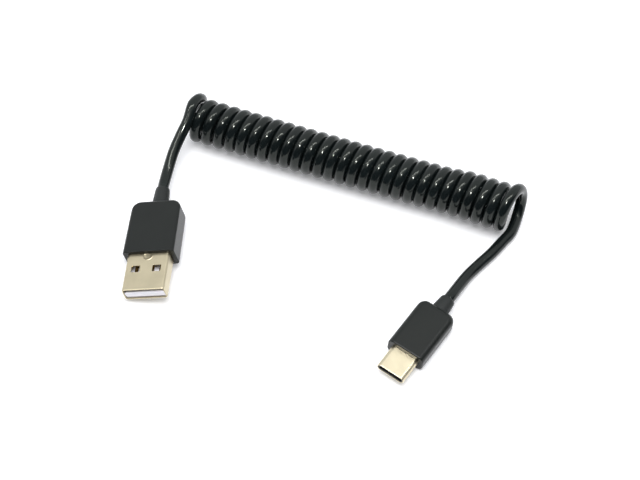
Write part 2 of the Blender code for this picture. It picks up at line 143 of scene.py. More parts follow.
# The dimple on the wide shell. A flattened ball presses its hollow, and the ball's radius is this
# share of the dimple's width.
DIMPLE_SETBACK = 0.7 * MM
DENT_SHARE = 0.46
DENT_LIFT = 0.12 * MM
DENT_FLATNESS = 0.2

# The fronts of the inner mouldings, from where to where behind the mouths
TONGUE_FRONT = (0.12 * MM, 0.48 * MM)
TONGUE_WIDTH = 11.1 * MM
TONGUE_HEIGHT = 1.83 * MM
TONGUE_DROP = 0.965 * MM
LINER_FRONT = (0.1 * MM, 0.42 * MM)
LINER_GAP = 0.09 * MM
LINER_WALL = 0.35 * MM

# Where the photograph was taken from
CAMERA_PLACE = (8.91 * MM, -260.12 * MM, 384.70 * MM)
SENSOR_WIDTH = 36.0


def length(name, description, default, low=0.0, high=0.1):
    return FloatProperty(name=name, description=description, default=default, min=low, max=high,
                         precision=5, subtype="DISTANCE", unit="LENGTH")


def colour(name, description, default):
    return FloatVectorProperty(name=name, description=description, default=default, size=3,
                               min=0.0, max=1.0, subtype="COLOR")


def share(name, description, default):
    return FloatProperty(name=name, description=description, default=default, min=0.0, max=1.0,
                         subtype="FACTOR")


class CordSettings(bpy.types.PropertyGroup):
    """Sizes and finish of the curly cord."""
    diameter: length("Diameter", "Thickness of the jacket", 3.20 * MM)
    coil_diameter: length("Coil Diameter", "Outside of the turns", 13.20 * MM)
    swell: FloatProperty(name="Swell", description="Thickness of the jacket where it is wound",
                         default=1.045, min=1.0, max=1.2)
    pitch: length("Pitch", "From one turn to the next", 3.356 * MM)
    turns: IntProperty(name="Turns", description="Closed turns of the coil", default=28, min=1)
    steps: IntProperty(name="Steps", description="Points on each turn", default=32, min=12)
    jacket: colour("Jacket", "Colour of the jacket", (0.0062, 0.0088, 0.0090))
    gloss: share("Roughness", "Roughness of the jacket", 0.14)


class WidePlugSettings(bpy.types.PropertyGroup):
    """Sizes of the wide plug."""
    shell_width: length("Shell Width", "Across the metal shell", 12.00 * MM)
    shell_height: length("Shell Height", "Through the metal shell", 4.50 * MM)
    shell_out: length("Shell Length", "In front of the housing", 11.80 * MM)
    shell_in: length("Shell Root", "Inside the housing", 5.00 * MM)
    sheet: length("Sheet", "Thickness of the sheet metal", 0.30 * MM)
    corner: length("Fold Radius", "Outside radius of the folds", 0.70 * MM)
    hole_width: length("Latch Hole Width", "Across each latch hole", 2.40 * MM)
    hole_length: length("Latch Hole Length", "Along each latch hole", 2.10 * MM)
    hole_offset: length("Latch Hole Offset", "From the plug's middle", 3.00 * MM)
    hole_setback: length("Latch Hole Setback", "In front of the housing", 4.90 * MM)
    dimple: length("Dimple", "Diameter of the pressed dimple", 2.90 * MM)
    dimple_height: length("Dimple Height", "How far the dimple stands out", 0.18 * MM)
    width: length("Housing Width", "Across the housing at the front", 14.70 * MM)
    rear_width: length("Housing Rear Width", "Across the housing at the cord", 14.10 * MM)
    height: length("Housing Height", "Through the housing", 6.70 * MM)
    length: length("Housing Length", "Along the housing", 17.60 * MM)
    boot_out: length("Boot Length", "How far the boot stands out", 6.20 * MM)


class SmallPlugSettings(bpy.types.PropertyGroup):
    """Sizes of the small oval plug."""
    shell_width: length("Shell Width", "Across the metal shell", 8.25 * MM)
    shell_height: length("Shell Height", "Through the metal shell", 2.40 * MM)
    shell_out: length("Shell Length", "In front of the housing", 7.00 * MM)
    shell_in: length("Shell Root", "Inside the housing", 4.00 * MM)
    sheet: length("Sheet", "Thickness of the drawn metal", 0.19 * MM)
    width: length("Housing Width", "Across the housing", 11.00 * MM)
    height: length("Housing Height", "Through the housing", 5.80 * MM)
    length: length("Housing Length", "Along the housing", 16.80 * MM)
    boot_out: length("Boot Length", "How far the boot stands out", 4.60 * MM)


class FinishSettings(bpy.types.PropertyGroup):
    """Colours of the plugs."""
    housing: colour("Housing", "Moulded housings", (0.0052, 0.0072, 0.0058))
    boot: colour("Boot", "Soft boots", (0.016, 0.0185, 0.0175))
    shell: colour("Wide Shell", "Warm nickel plate of the wide shell", (0.54, 0.48, 0.335))
    oval_shell: colour("Oval Shell", "Pale nickel plate of the oval shell", (0.66, 0.59, 0.42))
    insulator: colour("Insulator", "White moulding in the wide shell", (0.86, 0.84, 0.88))
    liner: colour("Liner", "Black moulding in the oval shell", (0.012, 0.012, 0.012))
    contact: colour("Contact", "Gold-plated contacts", (0.83, 0.60, 0.25))


class StageSettings(bpy.types.PropertyGroup):
    """Camera, floor and light."""
    lens: FloatProperty(name="Lens", description="Focal length for a 36 mm sensor",
                        default=95.625, min=1.0, unit="CAMERA")
    tilt: FloatProperty(name="Camera Tilt", description="Below the horizon",
                        default=math.radians(54.256), subtype="ANGLE", unit="ROTATION")
    key: FloatProperty(name="Overhead Light", description="Strength of the large soft light",
                       default=8.0, min=0.0, unit="POWER")
    lamp: FloatProperty(name="Small Lamp", description="Strength of the small bright lamp",
                        default=6.0, min=0.0, unit="POWER")
    strip: FloatProperty(name="Strip Light", description="Strength of the long narrow light",
                         default=5.5, min=0.0, unit="POWER")
    floor: colour("Floor", "Colour of the floor", (0.93, 0.93, 0.94))


# Selecting and shaping, as by hand

def leave_edit():
    if bpy.context.object is not None and bpy.context.object.mode != "OBJECT":
        bpy.ops.object.mode_set(mode="OBJECT")


def take(*objects):
    """Selects these objects alone. The first becomes the active one."""
    leave_edit()
    bpy.ops.object.select_all(action="DESELECT")
    for obj in objects:
        obj.select_set(True)
    bpy.context.view_layer.objects.active = objects[0]


def start_piece(name):
    """Names the primitive that was just added and bakes its size into its mesh."""
    piece = bpy.context.object
    piece.name = name
    piece.data.name = name
    take(piece)
    bpy.ops.object.transform_apply(location=True, rotation=True, scale=True)
    return piece


def block(name, size, centre):
    leave_edit()
    bpy.ops.object.select_all(action="DESELECT")
    bpy.ops.mesh.primitive_cube_add(size=1.0, location=centre, scale=size)
    return start_piece(name)


def edit(piece, mode="EDGE"):
    take(piece)
    bpy.ops.object.mode_set(mode="EDIT")
    bpy.ops.mesh.select_mode(type=mode)
    bpy.ops.mesh.select_all(action="DESELECT")


def pick(piece, kind, test):
    """Selects the verts, edges or faces that pass the test, and nothing else."""
    bpy.ops.mesh.select_mode(type={"verts": "VERT", "edges": "EDGE", "faces": "FACE"}[kind])
    bpy.ops.mesh.select_all(action="DESELECT")
    shape = bmesh.from_edit_mesh(piece.data)
    count = 0
    for element in getattr(shape, kind):
        if test(element):
            element.select_set(True)
            count += 1
    if count == 0:
        raise RuntimeError("nothing to pick on " + piece.name)
    shape.select_flush_mode()
    bmesh.update_edit_mesh(piece.data)


def round_edges(radius, segments):
    bpy.ops.mesh.bevel(offset=radius, offset_type="OFFSET", segments=segments, profile=0.5,
                       affect="EDGES", clamp_overlap=False)


def modify(piece, kind, **settings):
    """Adds a modifier to a piece and applies it."""
    take(piece)
    modifier = piece.modifiers.new(kind.title(), kind)
    for key, value in settings.items():
        setattr(modifier, key, value)
    bpy.ops.object.modifier_apply(modifier=modifier.name)


def carve(piece, cutter, operation="DIFFERENCE"):
    modify(piece, "BOOLEAN", operation=operation, object=cutter, solver="EXACT")
    bpy.data.objects.remove(cutter, do_unlink=True)


def smooth(piece, angle=35):
    take(piece)
    bpy.ops.object.shade_smooth_by_angle(angle=math.radians(angle))


def clean(piece):
    """Merges doubles and turns every face outwards."""
    edit(piece, "VERT")
    bpy.ops.mesh.select_all(action="SELECT")
    bpy.ops.mesh.remove_doubles(threshold=NEAR)
    bpy.ops.mesh.normals_make_consistent(inside=False)
    leave_edit()


def finish_piece(piece, place, material, slot, *nodes):
    """Lays a piece where it belongs, gives it its material and hides the frame's nodes that it
    replaces.
    """
    piece.matrix_world = place
    take(piece)
    bpy.ops.object.transform_apply(location=True, rotation=True, scale=True)
    piece.data.materials.clear()
    piece.data.materials.append(material)
    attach(piece, "root")
    if nodes:
        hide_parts(*nodes)


def at_y(value):
    return lambda vert: abs(vert.co.y - value) < NEAR


def edge_at_y(value):
    return lambda line: all(abs(vert.co.y - value) < NEAR for vert in line.verts)


def upright_edge_at_y(value):
    """Passes the edges at a body's front or rear that run from its top to its underside."""
    return lambda line: (all(abs(vert.co.y - value) < NEAR for vert in line.verts)
                         and abs(line.verts[0].co.x - line.verts[1].co.x) < NEAR
                         and line.verts[0].co.z * line.verts[1].co.z < 0)


def edge_along_y(line):
    return abs(line.verts[0].co.y - line.verts[1].co.y) > NEAR


def edge_along_z(line):
    return abs(line.verts[0].co.z - line.verts[1].co.z) > NEAR


# Places

def plug_place(along_x, along_y, heading, roll, width, height, edge):
    """A plug's frame, so high that its housing rests on one rounded lower edge."""
    tilt = math.radians(roll)
    rest_height = (edge + (width / 2 - edge) * abs(math.sin(tilt))
                   + (height / 2 - edge) * math.cos(tilt))
    turn = Matrix.Rotation(math.radians(heading), 4, "Z") @ Matrix.Rotation(tilt, 4, "Y")
    return Matrix.Translation((along_x, along_y, rest_height)) @ turn


def wide_place():
    plug = bpy.context.scene.cable_wide_plug
    return plug_place(PLUGS_MIDDLE[0] - PLUG_SPACING / 2, PLUGS_MIDDLE[1] + PLUG_STAGGER / 2,
                      WIDE_HEADING, WIDE_ROLL, plug.width, plug.height, WIDE_EDGE)


def small_place():
    plug = bpy.context.scene.cable_small_plug
    return plug_place(PLUGS_MIDDLE[0] + PLUG_SPACING / 2, PLUGS_MIDDLE[1] - PLUG_STAGGER / 2,
                      SMALL_HEADING, SMALL_ROLL, plug.width, plug.height, SMALL_EDGE)


# Materials

def shader_of(name):
    material = bpy.data.materials.new(name)
    material.use_nodes = True
    return material, material.node_tree, material.node_tree.nodes["Principled BSDF"]


def grain(tree, scale, detail=3.0, stretch=(1.0, 1.0, 1.0), turn=0.0):
    """A noise pattern on the piece's own coordinates, its scale in features per metre."""
    place = tree.nodes.new("ShaderNodeTexCoord")
    mapping = tree.nodes.new("ShaderNodeMapping")
    mapping.inputs["Rotation"].default_value = (0.0, 0.0, math.radians(turn))
    mapping.inputs["Scale"].default_value = stretch
    noise = tree.nodes.new("ShaderNodeTexNoise")
    noise.inputs["Scale"].default_value = scale
    noise.inputs["Detail"].default_value = detail
    tree.links.new(place.outputs["Object"], mapping.inputs["Vector"])
    tree.links.new(mapping.outputs["Vector"], noise.inputs["Vector"])
    return noise.outputs["Fac"]


def between(tree, factor, low, high, spread=(0.3, 0.7)):
    """Maps a pattern to a range of values."""
    node = tree.nodes.new("ShaderNodeMapRange")
    node.inputs["From Min"].default_value = spread[0]
    node.inputs["From Max"].default_value = spread[1]
    node.inputs["To Min"].default_value = low
    node.inputs["To Max"].default_value = high
    tree.links.new(factor, node.inputs["Value"])
    return node.outputs["Result"]


def relief(tree, shader, factor, depth):
    bump = tree.nodes.new("ShaderNodeBump")
    bump.inputs["Strength"].default_value = 1.0
    bump.inputs["Distance"].default_value = depth
    tree.links.new(factor, bump.inputs["Height"])
    tree.links.new(bump.outputs["Normal"], shader.inputs["Normal"])


def tint(tree, shader, factor, dark, light):
    """Colour that wanders between two shades."""
    mix = tree.nodes.new("ShaderNodeMix")
    mix.data_type = "RGBA"
    mix.inputs["A"].default_value = (*dark, 1.0)
    mix.inputs["B"].default_value = (*light, 1.0)
    tree.links.new(factor, mix.inputs["Factor"])
    tree.links.new(mix.outputs["Result"], shader.inputs["Base Color"])


def shade(base, factor):
    return tuple(min(1.0, channel * factor) for channel in base)


def rough_between(tree, shader, factor, low, high):
    tree.links.new(between(tree, factor, low, high), shader.inputs["Roughness"])


def moulded_plastic(name, base, roughness, level, grain_size, depth, facing=1.0):
    """Moulding with a fine spark-eroded grain. Facing dims what it mirrors head-on."""
    material, tree, shader = shader_of(name)
    wander = grain(tree, 160.0, 2.0)
    tint(tree, shader, between(tree, wander, 0.0, 1.0), shade(base, 0.9), shade(base, 1.12))
    fine = grain(tree, 1.0 / grain_size, 2.0)
    rough_between(tree, shader, fine, roughness - 0.04, roughness + 0.05)
    shader.inputs["Specular IOR Level"].default_value = level
    shader.inputs["Specular Tint"].default_value = (facing, facing, facing, 1.0)
    relief(tree, shader, fine, depth)
    return material


def plated_metal(name, base, roughness, heading, lines_depth):
    """Nickel or gold plate with faint rolling lines along the sheet."""
    material, tree, shader = shader_of(name)
    shader.inputs["Metallic"].default_value = 1.0
    wander = grain(tree, 220.0, 3.0)
    tint(tree, shader, between(tree, wander, 0.0, 1.0), shade(base, 0.93), shade(base, 1.06))
    lines = grain(tree, 900.0, 3.0, (4.0, 0.25, 4.0), -heading)
    rough_between(tree, shader, lines, roughness - 0.03, roughness + 0.04)
    relief(tree, shader, lines, lines_depth)
    return material


def cord_jacket(name, base, roughness):
    """Glossy extruded jacket with a very fine grain."""
    material, tree, shader = shader_of(name)
    wander = grain(tree, 120.0, 2.0)
    tint(tree, shader, between(tree, wander, 0.0, 1.0), shade(base, 0.85), shade(base, 1.2))
    fine = grain(tree, 1400.0, 3.0)
    rough_between(tree, shader, fine, roughness - 0.02, roughness + 0.03)
    shader.inputs["Specular IOR Level"].default_value = 0.34
    shader.inputs["Specular Tint"].default_value = (0.96, 1.0, 0.91, 1.0)
    relief(tree, shader, fine, 0.0008 * MM)
    return material


def floor_finish(name, base):
    material, _, shader = shader_of(name)
    shader.inputs["Base Color"].default_value = (*base, 1.0)
    shader.inputs["Roughness"].default_value = 0.9
    shader.inputs["Specular IOR Level"].default_value = 0.1
    shader.inputs["Emission Color"].default_value = (*base, 1.0)
    shader.inputs["Emission Strength"].default_value = 0.25
    return material


def finish_named(name):
    """A finish, made the first time that it is asked for."""
    if name in bpy.data.materials:
        return bpy.data.materials[name]
    cord = bpy.context.scene.cable_cord
    finish = bpy.context.scene.cable_finish
    makers = {
        "cord jacket": lambda: cord_jacket(name, cord.jacket, cord.gloss),
        "housing plastic": lambda: moulded_plastic(
            name, finish.housing, roughness=0.34, level=0.5, grain_size=0.22 * MM,
            depth=0.005 * MM, facing=0.6),
        "boot rubber": lambda: moulded_plastic(
            name, finish.boot, roughness=0.5, level=0.32, grain_size=0.3 * MM,
            depth=0.008 * MM, facing=0.8),
        "wide shell nickel": lambda: plated_metal(
            name, finish.shell, roughness=0.34, heading=WIDE_HEADING, lines_depth=0.0005 * MM),
        "oval shell nickel": lambda: plated_metal(
            name, finish.oval_shell, roughness=0.32, heading=SMALL_HEADING,
            lines_depth=0.0001 * MM),
        "white insulator": lambda: moulded_plastic(
            name, finish.insulator, roughness=0.4, level=0.5, grain_size=0.4 * MM,
            depth=0.004 * MM),
        "black liner": lambda: moulded_plastic(
            name, finish.liner, roughness=0.4, level=0.4, grain_size=0.3 * MM,
            depth=0.004 * MM),
        "contact gold": lambda: plated_metal(
            name, finish.contact, roughness=0.2, heading=WIDE_HEADING,
            lines_depth=0.0003 * MM),
        "studio floor": lambda: floor_finish(name, bpy.context.scene.cable_stage.floor),
    }
    return makers[name]()


# The cord's line

def ease(value):
    """Rises smoothly from 0 to 1."""
    value = min(1.0, max(0.0, value))
    return value * value * (3.0 - 2.0 * value)


def hump(turn, start, rise, stop, fall):
    """Rises smoothly from 0 at start to 1, and is back at 0 by stop."""
    return ease((turn - start) / rise) * ease((stop - turn) / fall)


def last_turn():
    """Where the coil ends, half a turn past its closed turns and so on its underside."""
    return bpy.context.scene.cable_cord.turns + 0.5


def swell_at(turn):
    """How much the winding has pressed the jacket out, against a straight stretch of it."""
    cord = bpy.context.scene.cable_cord
    return 1.0 + (cord.swell - 1.0) * hump(turn, 0.0, 0.6, last_turn(), 0.6)


def coil_point(turn):
    """A point on the coil's middle line. Turn 0 is on top at the wide plug's end."""
    cord = bpy.context.scene.cable_cord
    heading = math.radians(COIL_HEADING)
    along = Vector((math.cos(heading), math.sin(heading), 0.0))
    away = Vector((-math.sin(heading), math.cos(heading), 0.0))
    closed = (cord.coil_diameter - cord.diameter * cord.swell) / 2
    opening = max(1.0 - ease(turn / 0.75), ease((turn - cord.turns + 0.5) / 0.5))
    radius = closed + END_FLARE * ease((turn - cord.turns + 6.0) / 3.0)
    radius += (END_TURN_RADIUS - radius) * opening
    centre = FLOOR_GAP + cord.diameter * swell_at(turn) / 2 + radius
    # The end turns lie off the even pitch, and so do the far and near sides of the first one
    shift = FIRST_TURN_SHIFT * (1.0 - ease(turn / 4.0))
    shift += LAST_TURN_SHIFT * ease((turn - cord.turns + 0.15) / 0.5)
    shift -= LAST_TURN_RETURN * ease((turn - cord.turns - 0.15) / 0.35)
    shift += FIRST_FAR_SHIFT * hump(turn, 0.1, 0.2, 0.62, 0.22)
    shift += FIRST_NEAR_SHIFT * hump(turn, 0.55, 0.25, 1.05, 0.25)
    # No two turns lie quite alike
    shift += 0.05 * MM * math.sin(2.3 * turn) * math.sin(0.7 * turn)
    way = turn / last_turn()
    bow = COIL_BOW * (4.0 * (way - 0.5) ** 2 - 0.3)
    bow -= END_FORWARD * ease((turn - cord.turns + 4.0) / 3.0)
    angle = 2.0 * math.pi * turn
    shift += TURN_LEAN * math.sin(angle)
    lift = Vector((0.0, 0.0, radius * math.cos(angle)))
    return (Vector((*COIL_START, centre)) + along * (turn * cord.pitch + shift)
            + away * (bow + radius * math.sin(angle)) + lift)


def smooth_line(before, route, after, step):
    """Evenly spaced points on a Catmull-Rom curve through the route."""
    knots = [before, *route, after]
    cuts = 40
    dense = []
    for a, b, c, d in zip(knots, knots[1:], knots[2:], knots[3:]):
        for i in range(cuts):
            t = i / cuts
            dense.append(0.5 * (2 * b + (c - a) * t + (2 * a - 5 * b + 4 * c - d) * t ** 2
                                + (3 * b - a - 3 * c + d) * t ** 3))
    dense.append(route[-1])
    whole = sum((q - p).length for p, q in zip(dense, dense[1:]))
    gap = whole / max(1, round(whole / step))
    points = [dense[0]]
    travelled = 0.0
    for p, q in zip(dense, dense[1:]):
        travelled += (q - p).length
        if travelled >= gap * len(points) - NEAR:
            points.append(q)
    points[-1] = route[-1]
    return points


def boot_end(place, plug, outside):
    """Where a cord's middle line meets a boot's end, in the frame."""
    return place @ Vector((0.0, plug.length + plug.boot_out + outside, 0.0))


def cord_line():
    """The cord's whole middle line, from the wide plug's boot to the small plug's."""
    scene = bpy.context.scene
    cord, wide, small = scene.cable_cord, scene.cable_wide_plug, scene.cable_small_plug
    last = last_turn()
    count = round(last * cord.steps)
    coil = [coil_point(last * i / count) for i in range(count + 1)]
    first = [boot_end(wide_place(), wide, outside) for outside in BOOT_CROSSING]
    lead_in = smooth_line(2 * first[0] - first[1], [*first, *map(Vector, WIDE_LEAD_ROUTE), coil[0]],
                          coil_point(0.13), LEAD_STEP)
    final = [boot_end(small_place(), small, outside) for outside in reversed(BOOT_CROSSING)]
    route = [coil[-1], *map(Vector, reversed(SMALL_LEAD_ROUTE)), *final]
    lead_out = smooth_line(coil_point(last - 0.11), route, 2 * final[-1] - final[-2], LEAD_STEP)
    for point in lead_out:
        point.z = max(point.z, FLOOR_GAP + cord.diameter / 2)
    swells = [swell_at(last * i / count) for i in range(count + 1)]
    straight = [(point, 1.0) for point in lead_in[:-1]]
    return straight + list(zip(coil, swells)) + [(point, 1.0) for point in lead_out[1:]]


class CABLE_OT_camera(bpy.types.Operator):
    """Sets the camera where the photograph was taken from"""
    bl_idname = "cable.camera"
    bl_label = "Camera"

    def execute(self, context):
        stage = context.scene.cable_stage
        bpy.ops.object.camera_add(location=CAMERA_PLACE,
                                  rotation=(math.pi / 2 - stage.tilt, 0.0, 0.0))
        camera = context.object
        camera.name = "studio_camera"
        camera.data.lens = stage.lens
        camera.data.sensor_width = SENSOR_WIDTH
        camera.data.clip_start = 0.01
        context.scene.camera = camera
        return {"FINISHED"}


class CABLE_OT_cord(bpy.types.Operator):
    """Lays the cord from the wide plug's boot through its coil to the small plug's boot"""
    bl_idname = "cable.cord"
    bl_label = "Curly Cord"

    def execute(self, context):
        cord = context.scene.cable_cord
        line = cord_line()
        curve = bpy.data.curves.new("curly_cord", "CURVE")
        curve.dimensions = "3D"
        curve.bevel_depth = cord.diameter / 2
        curve.bevel_resolution = 6
        curve.use_fill_caps = True
        spline = curve.splines.new("POLY")
        spline.points.add(len(line) - 1)
        for point, (place, swell) in zip(spline.points, line):
            point.co = (*place, 1.0)
            point.radius = swell
        curve.materials.append(finish_named("cord jacket"))
        piece = bpy.data.objects.new("curly_cord", curve)
        context.scene.collection.objects.link(piece)
        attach(piece, "root")
        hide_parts("lead_a", "coil", "lead_c")
        return {"FINISHED"}


# Plug pieces

def moulded_body(name, width, rear_width, height, long, rear_corner, edge, front_edge):
    """A flat moulding: a block with a rounded plan, rounded long edges and an eased front."""
    def in_front(line):
        return all(vert.co.y < NEAR for vert in line.verts)

    def of_top_or_underside(line):
        return (all(abs(abs(vert.co.z) - height / 2) < NEAR for vert in line.verts)
                and line.verts[0].co.z * line.verts[1].co.z > 0)

    body = block(name, (width, long, height), (0.0, long / 2, 0.0))
    edit(body)
    pick(body, "verts", at_y(long))
    bpy.ops.transform.resize(value=(rear_width / width, 1.0, 1.0), center_override=(0.0, long, 0.0))
    pick(body, "edges", upright_edge_at_y(long))
    round_edges(rear_corner, 10)
    pick(body, "edges", lambda line: not in_front(line) and of_top_or_underside(line))
    round_edges(edge, 8)
    pick(body, "edges", in_front)
    round_edges(front_edge, 4)
    leave_edit()
    return body


def rounded_bar(name, width, height, radius, start, stop, segments=6):
    """A bar along Y with four rounded long edges."""
    bar = block(name, (width, stop - start, height), (0.0, (start + stop) / 2, 0.0))
    edit(bar)
    pick(bar, "edges", edge_along_y)
    round_edges(radius, segments)
    leave_edit()
    return bar


def drawn_sleeve(name, width, height, radius, sheet, start, stop, segments, lip):
    """A sheet-metal sleeve along Y with a slightly turned-in mouth."""
    sleeve = block(name, (width, stop - start - lip, height), (0.0, (start + lip + stop) / 2, 0.0))
    edit(sleeve)
    pick(sleeve, "faces", lambda face: abs(face.normal.y) > 0.9)
    bpy.ops.mesh.delete(type="ONLY_FACE")
    pick(sleeve, "edges", edge_along_y)
    round_edges(radius, segments)
    pick(sleeve, "edges", edge_at_y(start + lip))
    bpy.ops.mesh.extrude_region_move(TRANSFORM_OT_translate={"value": (0.0, -lip, 0.0)})
    turned_in = 0.3 * lip
    bpy.ops.transform.resize(value=(1.0 - turned_in / width, 1.0, 1.0 - turned_in / height),
                             center_override=(0.0, start, 0.0))
    bpy.ops.mesh.select_all(action="SELECT")
    bpy.ops.mesh.normals_make_consistent(inside=False)
    leave_edit()
    modify(sleeve, "SOLIDIFY", thickness=sheet, offset=-1.0, use_even_offset=True)
    return sleeve


def flat_ball(name, radius, flatness, z):
    """A flattened ball where the wide shell has its dimple."""
    leave_edit()
    bpy.ops.object.select_all(action="DESELECT")
    bpy.ops.mesh.primitive_uv_sphere_add(segments=40, ring_count=20, radius=radius,
                                         location=(0.0, -DIMPLE_SETBACK, z),
                                         scale=(1.0, 1.0, flatness))
    return start_piece(name)


def boot_form(name, plug, root, sections):
    """A soft boot: oval sections from inside the housing to the cord, with a hollow end."""
    leave_edit()
    bpy.ops.object.select_all(action="DESELECT")
    start = plug.length - BOOT_DEPTH
    width, height = root
    bpy.ops.mesh.primitive_circle_add(vertices=32, radius=width / 2, fill_type="NGON",
                                      location=(0.0, start, 0.0), rotation=(math.pi / 2, 0.0, 0.0))
    boot = start_piece(name)
    edit(boot, "FACE")
    bpy.ops.mesh.select_all(action="SELECT")
    bpy.ops.transform.resize(value=(1.0, 1.0, height / width), center_override=(0.0, start, 0.0))
    for way, next_width, next_height in sections:
        y = plug.length + way * plug.boot_out
        bpy.ops.mesh.extrude_region_move(TRANSFORM_OT_translate={"value": (0.0, y - start, 0.0)})
        bpy.ops.transform.resize(value=(next_width / width, 1.0, next_height / height),
                                 center_override=(0.0, y, 0.0))
        start, width, height = y, next_width, next_height
    bpy.ops.mesh.extrude_region_move(TRANSFORM_OT_translate={"value": (0.0, 0.0, 0.0)})
    bpy.ops.transform.resize(value=(BOOT_BORE / width, 1.0, BOOT_BORE / height),
                             center_override=(0.0, start, 0.0))
    bpy.ops.mesh.extrude_region_move(TRANSFORM_OT_translate={"value": (0.0, -BOOT_HOLLOW, 0.0)})
    leave_edit()
    clean(boot)
    smooth(boot, 40)
    return boot


class CABLE_OT_wide_housing(bpy.types.Operator):
    """Moulds the wide plug's housing with its socket for the shell"""
    bl_idname = "cable.wide_housing"
    bl_label = "Wide Plug Housing"

    def execute(self, context):
        plug = context.scene.cable_wide_plug
        body = moulded_body("wide_housing", plug.width, plug.rear_width, plug.height, plug.length,
                            rear_corner=2.6 * MM, edge=WIDE_EDGE, front_edge=0.25 * MM)
        socket = rounded_bar("socket", plug.shell_width + WIDE_SOCKET_ROOM,
                             plug.shell_height + WIDE_SOCKET_ROOM, plug.corner,
                             -MM, plug.shell_in + SOCKET_END_ROOM)
        carve(body, socket)
        seat = rounded_bar("boot_seat", 4.8 * MM, 4.4 * MM, 2.15 * MM,
                           plug.length - SEAT_DEPTH, plug.length + MM, 10)
        carve(body, seat)
        smooth(body, 40)
        modify(body, "WEIGHTED_NORMAL", keep_sharp=True)
        finish_piece(body, wide_place(), finish_named("housing plastic"), "housing_plastic",
                     "usb_a_housing")
        return {"FINISHED"}


class CABLE_OT_wide_shell(bpy.types.Operator):
    """Folds the wide plug's sheet-metal shell with its latch holes, seam and dimple"""
    bl_idname = "cable.wide_shell"
    bl_label = "Wide Plug Shell"

    def execute(self, context):
        plug = context.scene.cable_wide_plug
        shell = drawn_sleeve("wide_shell", plug.shell_width, plug.shell_height, plug.corner,
                             plug.sheet, -plug.shell_out, plug.shell_in, segments=6,
                             lip=0.35 * MM)
        for side in (-1, 1):
            hole = block("latch_hole", (plug.hole_width, plug.hole_length, 2 * plug.shell_height),
                         (side * plug.hole_offset, -plug.hole_setback, 0.0))
            edit(hole)
            pick(hole, "edges", edge_along_z)
            round_edges(0.22 * MM, 4)
            leave_edit()
            carve(shell, hole)
        seam = block("seam", (SEAM_WIDTH, 2 * plug.shell_out, MM),
                     (0.0, -plug.shell_out / 2, -plug.shell_height / 2))
        carve(shell, seam)
        modify(shell, "BEVEL", width=SHEET_EDGE, segments=2, limit_method="ANGLE",
               angle_limit=math.radians(50))
        top = plug.shell_height / 2
        dimple = flat_ball("dimple", plug.dimple / 2, 2 * plug.dimple_height / plug.dimple, top)
        carve(shell, dimple, "UNION")
        carve(shell, flat_ball("dent", DENT_SHARE * plug.dimple, DENT_FLATNESS, top + DENT_LIFT))
        clean(shell)
        smooth(shell, 30)
        modify(shell, "WEIGHTED_NORMAL", keep_sharp=True)
        finish_piece(shell, wide_place(), finish_named("wide shell nickel"), "nickel_shell",
                     "usb_a_shell")
        return {"FINISHED"}


class CABLE_OT_wide_boot(bpy.types.Operator):
    """Forms the soft boot where the cord leaves the wide plug"""
    bl_idname = "cable.wide_boot"
    bl_label = "Wide Plug Boot"

    def execute(self, context):
        plug = context.scene.cable_wide_plug
        boot = boot_form("wide_boot", plug, WIDE_BOOT_ROOT, WIDE_BOOT_SECTIONS)
        finish_piece(boot, wide_place(), finish_named("boot rubber"), "boot_rubber",
                     "usb_a_strain_relief")
        return {"FINISHED"}


class CABLE_OT_small_housing(bpy.types.Operator):
    """Moulds the small plug's soft-edged housing"""
    bl_idname = "cable.small_housing"
    bl_label = "Small Plug Housing"

    def execute(self, context):
        plug = context.scene.cable_small_plug
        body = moulded_body("small_housing", plug.width, plug.width, plug.height, plug.length,
                            rear_corner=2.4 * MM, edge=SMALL_EDGE, front_edge=0.35 * MM)
        socket = rounded_bar("socket", plug.shell_width + SMALL_SOCKET_ROOM,
                             plug.shell_height + SMALL_SOCKET_ROOM,
                             plug.shell_height / 2 + 0.06 * MM,
                             -MM, plug.shell_in + SOCKET_END_ROOM, 12)
        carve(body, socket)
        seat = rounded_bar("boot_seat", 5.1 * MM, 4.3 * MM, 2.1 * MM,
                           plug.length - SEAT_DEPTH, plug.length + MM, 10)
        carve(body, seat)
        smooth(body, 40)
        modify(body, "WEIGHTED_NORMAL", keep_sharp=True)
        finish_piece(body, small_place(), finish_named("housing plastic"), "housing_plastic",
                     "usb_c_housing")
        return {"FINISHED"}


class CABLE_OT_small_shell(bpy.types.Operator):
    """Draws the small plug's oval metal shell"""
    bl_idname = "cable.small_shell"
    bl_label = "Small Plug Shell"

    def execute(self, context):
        plug = context.scene.cable_small_plug
        shell = drawn_sleeve("small_shell", plug.shell_width, plug.shell_height,
                             plug.shell_height / 2 - LEAST_FLAT, plug.sheet, -plug.shell_out,
                             plug.shell_in, segments=12, lip=0.3 * MM)
        modify(shell, "BEVEL", width=SHEET_EDGE, segments=3, limit_method="ANGLE",
               angle_limit=math.radians(50))
        clean(shell)
        smooth(shell, 40)
        modify(shell, "WEIGHTED_NORMAL", keep_sharp=True)
        finish_piece(shell, small_place(), finish_named("oval shell nickel"), "nickel_shell",
                     "usb_c_shell")
        return {"FINISHED"}


class CABLE_OT_small_boot(bpy.types.Operator):
    """Forms the soft boot where the cord leaves the small plug"""
    bl_idname = "cable.small_boot"
    bl_label = "Small Plug Boot"

    def execute(self, context):
        plug = context.scene.cable_small_plug
        boot = boot_form("small_boot", plug, SMALL_BOOT_ROOT, SMALL_BOOT_SECTIONS)
        finish_piece(boot, small_place(), finish_named("boot rubber"), "boot_rubber",
                     "usb_c_strain_relief")
        return {"FINISHED"}


